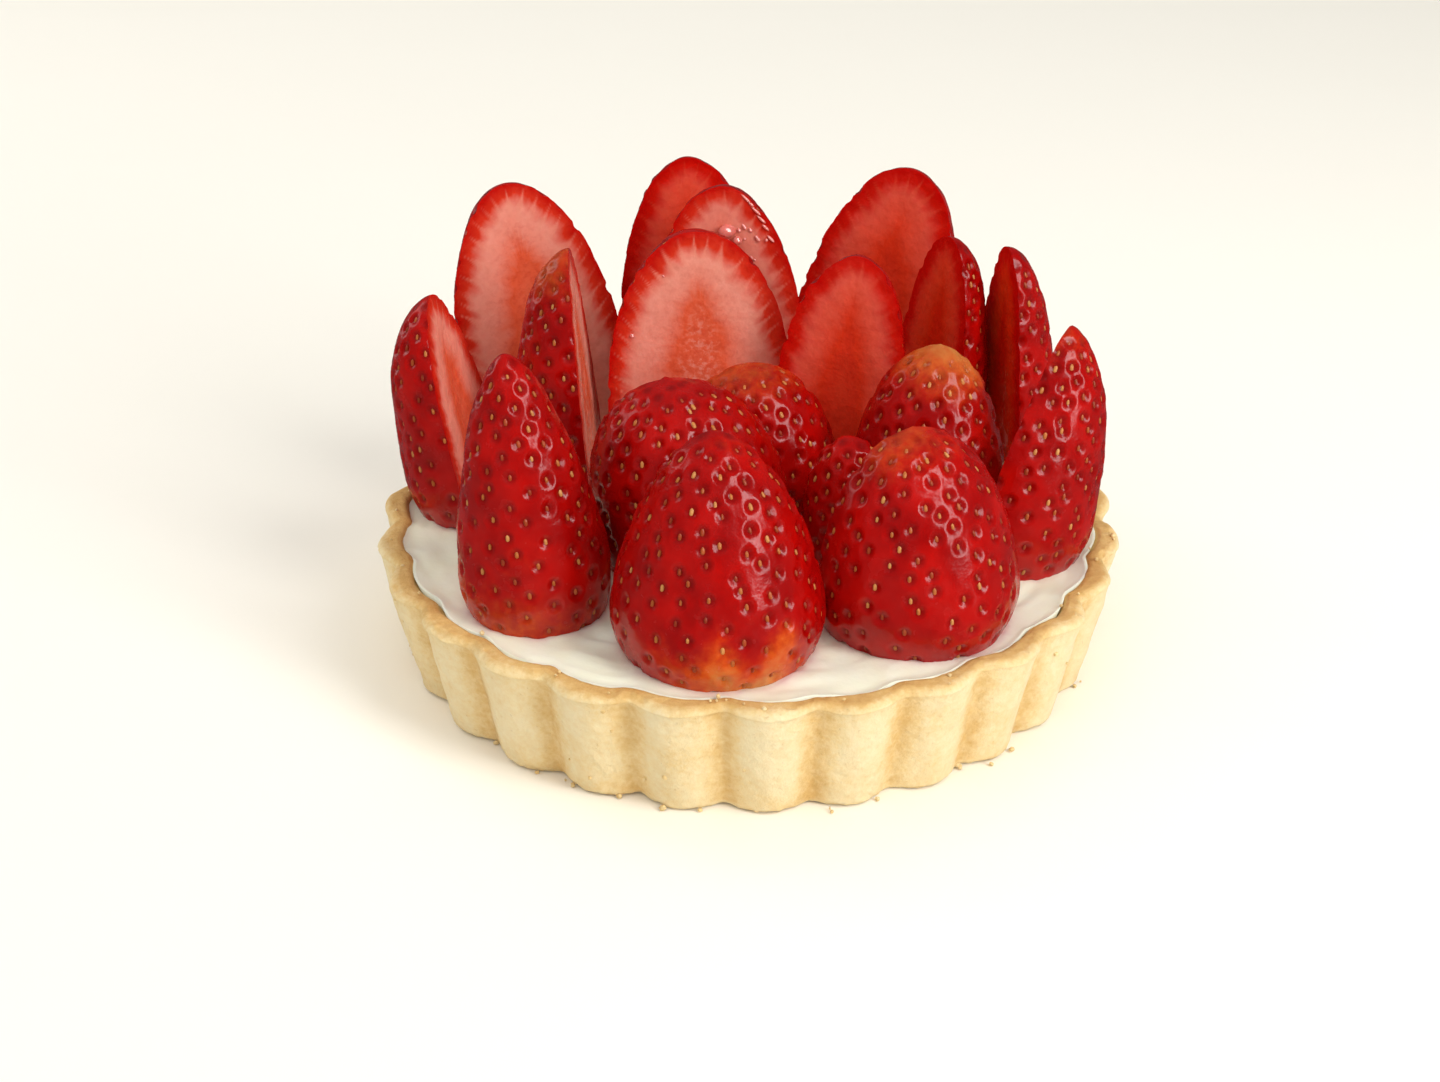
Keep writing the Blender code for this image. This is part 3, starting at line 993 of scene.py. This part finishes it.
def gap_to_fruit(bodies, flat):
    """Distance from each x, y point to the nearest strawberry's outline in the cream."""
    gap = np.full(len(flat), 99.0)
    batch = 4000
    for body in bodies:
        edge = outline_at_cream(body)
        for start in range(0, len(flat), batch):
            part = flat[start:start + batch]
            near = np.linalg.norm(part[:, None] - edge[None], axis=-1).min(axis=1)
            gap[start:start + batch] = np.minimum(gap[start:start + batch], near)
    return gap


def build_cream(bodies):
    """The cream's surface, drawn up where it meets fruit and crust, with the marks of a palette knife."""
    turn = 2 * pi * np.arange(CREAM_STEPS) / CREAM_STEPS
    reach = inner_radius(turn, CREAM_TOP) + 0.35
    share = np.sqrt(np.linspace(0.0004, 1, CREAM_ROWS))
    share = share * 0.35 + np.linspace(0.02, 1, CREAM_ROWS) * 0.65
    surface = np.concatenate([polar(turn, reach * s, CREAM_TOP) for s in share])
    flat = surface[:, :2]
    radius = np.hypot(flat[:, 0], flat[:, 1])
    to_wall = np.tile(reach, CREAM_ROWS) - radius
    gap = gap_to_fruit(bodies, flat)

    swept = np.stack([np.tile(turn, CREAM_ROWS) * 5.0, radius / 2.6, np.zeros(len(flat))], axis=-1)
    marks = 0.22 * layered(swept, 1.0, 61, 2) + 0.28 * layered(surface, 9.0, 67, 2)
    ridges = 0.16 * (1 - np.abs(noise(swept * [1.4, 1.0, 1.0], 1.0, 71))) ** 3
    drawn_up = 0.35 * np.exp(-gap / 0.75)
    surface[:, 2] += marks + ridges - 0.25 + drawn_up + 0.6 * np.exp(-to_wall / 0.8)
    stain = np.clip(layered(surface, 4.0, 73, 2) * 0.5 + 0.75, 0.2, 1.1)
    juice = np.clip(0.9 * np.exp(-gap / 1.0) * stain, 0, 1)

    # from the floor of the case up the wall, then over the surface to its middle
    floor = FLOOR_THICKNESS + 0.3
    foot = polar(turn, inner_radius(turn, FLOOR_THICKNESS), floor)
    inward = surface.reshape(CREAM_ROWS, CREAM_STEPS, 3)[::-1].reshape(-1, 3)
    points = np.concatenate([foot, inward])
    juice = juice.reshape(CREAM_ROWS, CREAM_STEPS)[::-1].ravel()
    juice = np.concatenate([np.zeros(CREAM_STEPS), juice, [0.0, 0.0]])
    count = CREAM_ROWS + 1
    under_pole = len(points)
    middle_height = points[-CREAM_STEPS:, 2].mean()
    points = np.vstack([points, [[0, 0, floor], [0, 0, middle_height]]])
    faces = [
        grid_faces(count, CREAM_STEPS),
        fan_faces(0, CREAM_STEPS, under_pole, outward=False),
        fan_faces((count - 1) * CREAM_STEPS, CREAM_STEPS, under_pole + 1, outward=True),
    ]
    cream = mesh_piece("cream_filling", points, faces, cream_material(), {"juice": juice})
    finish_piece(cream, "cream", "cream")
    return cream


# ---- Crumbs ----


def unit_ball():
    bm = bmesh.new()
    bmesh.ops.create_icosphere(bm, subdivisions=2, radius=1.0)
    ball = np.array([v.co for v in bm.verts])
    tris = np.array([[v.index for v in f.verts] for f in bm.faces])
    bm.free()
    return ball, tris


def crumb_places(rng):
    """(turn, distance from the middle, z, size) of every crumb: at the foot, on the rim, on the wall."""
    places = []
    for _ in range(FOOT_CRUMBS):
        turn = rng.uniform(0, 2 * pi)
        size = rng.uniform(0.2, 0.5)
        foot = outer_radius(np.array(turn), 0.0) + 0.2 + abs(rng.normal(0, 0.35))
        places.append((turn, foot, size * 0.55, size))
    for _ in range(RIM_CRUMBS):
        turn = rng.uniform(0, 2 * pi)
        size = rng.uniform(0.18, 0.42)
        inner = float(inner_radius(np.array(turn), CRUST_HEIGHT))
        outer = float(outer_radius(np.array(turn), CRUST_HEIGHT))
        places.append((turn, rng.uniform(inner, outer - 0.5), CRUST_HEIGHT - 0.1, size))
    for _ in range(WALL_CRUMBS):
        turn = rng.uniform(0, 2 * pi)
        z = rng.uniform(1.0, CRUST_HEIGHT - 1.0)
        size = rng.uniform(0.16, 0.38)
        places.append((turn, float(outer_radius(np.array(turn), z)) + 0.05, z, size))
    return places


def build_crumbs(material):
    """Loose crumbs at the foot of the case, on its rim and caught on its wall."""
    rng = np.random.default_rng(23)
    ball, tris = unit_ball()
    points, faces = [], []
    for index, (turn, radius, z, size) in enumerate(crumb_places(rng)):
        shaped = ball * (1 + 0.35 * layered(ball + index * 5.0, 0.9, 81, 2))[:, None]
        shaped = shaped * rng.uniform(0.7, 1.2, 3) * size
        placed = shaped + [radius * cos(turn), radius * sin(turn), z]
        placed[:, 2] = np.clip(placed[:, 2], 0.02, None)
        points.append(placed)
        faces.append(tris + index * len(ball))
    points = np.concatenate(points)
    crumbs = mesh_piece("crumbs", points, [np.concatenate(faces)], material,
                        {"bake": np.full(len(points), 0.35)})
    finish_piece(crumbs, "pastry")
    return crumbs


# ---- Stage ----


def build_stage():
    """A wide plain floor, set just below the foot of the case."""
    mesh = bpy.data.meshes.new("floor")
    half = 3.0
    corners = [(-half, -half, 0), (half, -half, 0), (half, half, 0), (-half, half, 0)]
    mesh.from_pydata(corners, [], [(0, 1, 2, 3)])
    floor = bpy.data.objects.new("floor", mesh)
    floor.location.z = -0.0002
    bpy.context.scene.collection.objects.link(floor)
    n = Nodes("floor_paper", 0.9)
    n.set("Specular IOR Level", 0.1)
    n.feed("Base Color", n.mix(n.noise(60.0), (0.96, 0.92, 0.82), (0.97, 0.93, 0.83)))
    mesh.materials.append(n.material)
    floor.visible_glossy = False


def area_light(name, turn_deg, rise_deg, distance, size, power, glints=True, aim=(0, 0, 0.03)):
    """A soft lamp aimed at a point. turn_deg is measured from the front towards the right."""
    turn, rise = radians(turn_deg), radians(rise_deg)
    target = Vector(aim)
    place = target + distance * Vector((sin(turn) * cos(rise), -cos(turn) * cos(rise), sin(rise)))
    light = bpy.data.lights.new(name, "AREA")
    light.shape = "RECTANGLE"
    light.size, light.size_y = size
    light.energy = power
    light.color = (1, 1, 1)
    lamp = bpy.data.objects.new(name, light)
    lamp.location = place
    lamp.rotation_euler = (target - place).to_track_quat("-Z", "Y").to_euler()
    lamp.visible_glossy = glints
    bpy.context.scene.collection.objects.link(lamp)


def build_light():
    scene = bpy.context.scene
    scene.view_settings.view_transform = "Standard"
    world = bpy.data.worlds.new("soft_white")
    scene.world = world
    world.use_nodes = True
    sky = world.node_tree.nodes["Background"]
    sky.inputs["Color"].default_value = (1, 1, 1, 1)
    sky.inputs["Strength"].default_value = 0.12
    area_light("window", turn_deg=50, rise_deg=34, distance=0.65, size=(0.20, 0.62), power=3.5)
    area_light("front_fill", turn_deg=-38, rise_deg=40, distance=1.4, size=(2.4, 1.8), power=11.0,
               glints=False)
    area_light("overhead", turn_deg=20, rise_deg=80, distance=1.6, size=(2.2, 2.2), power=8.5, glints=False)
    area_light("behind", turn_deg=-165, rise_deg=75, distance=0.9, size=(1.6, 0.7), power=4.5, glints=False,
               aim=(-0.12, 0.42, 0.0))
    area_light("left_edge", turn_deg=-118, rise_deg=22, distance=0.7, size=(0.2, 0.5), power=0.6)


def build_camera():
    """The camera looks down at the tart from the front, square to it, through a 50 mm lens."""
    aim = Vector((-4.49, 0.0, 13.82)) * MM
    distance = 329.5 * MM
    elevation = radians(29.05)
    camera = bpy.data.cameras.new("camera")
    camera.lens = 50.0
    camera.sensor_width = 36.0
    holder = bpy.data.objects.new("camera", camera)
    holder.location = aim + Vector((0, -cos(elevation), sin(elevation))) * distance
    holder.rotation_euler = (pi / 2 - elevation, 0, 0)
    bpy.context.scene.collection.objects.link(holder)
    bpy.context.scene.camera = holder


build_camera()
build_light()
build_stage()
crust = build_crust()
bodies = [Body(berry, index) for index, berry in enumerate(BERRIES)]
build_cream(bodies)
skin = skin_material()
flesh = flesh_material()
for body in bodies:
    build_berry(body, skin, flesh)
build_seeds(bodies)
build_drops(bodies)
build_crumbs(crust.data.materials[0])
